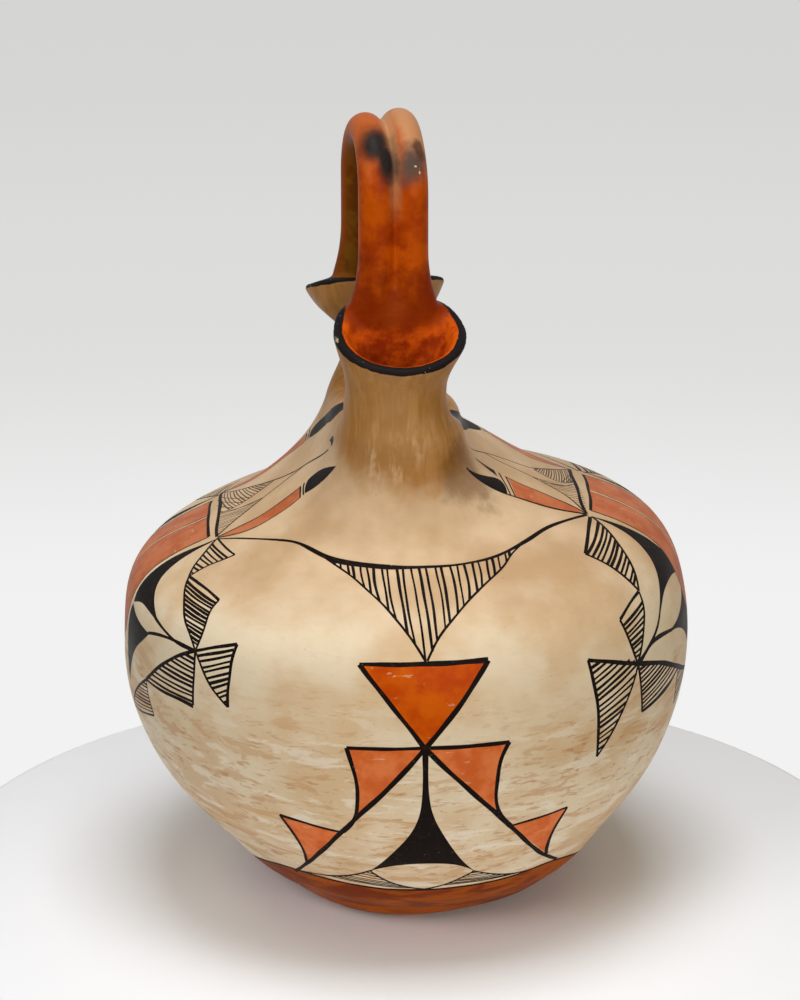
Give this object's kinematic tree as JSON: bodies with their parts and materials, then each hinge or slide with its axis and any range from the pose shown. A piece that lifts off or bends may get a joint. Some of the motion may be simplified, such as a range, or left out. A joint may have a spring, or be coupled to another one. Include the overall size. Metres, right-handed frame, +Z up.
{
  "type": "wedding vase",
  "caption": "Twin-spouted painted pottery vase: one round hollow body, two flared spouts and a handle of clay rolls between them; it stands on a flat foot and pours from either spout.",
  "frame": {"origin": "middle of the bounding box, on the plane the foot stands on", "axes": "+Z up; the two spouts stand in a line along Y, the front one towards -Y; the handle arches over the gap between them"},
  "size_m": [0.2348, 0.235, 0.3295],
  "materials": {
    "fired_clay": "burnished slip with mineral paint, satin"
  },
  "bodies": {
    "root": {"wedding_vase": "fired_clay"}
  },
  "joints": []
}
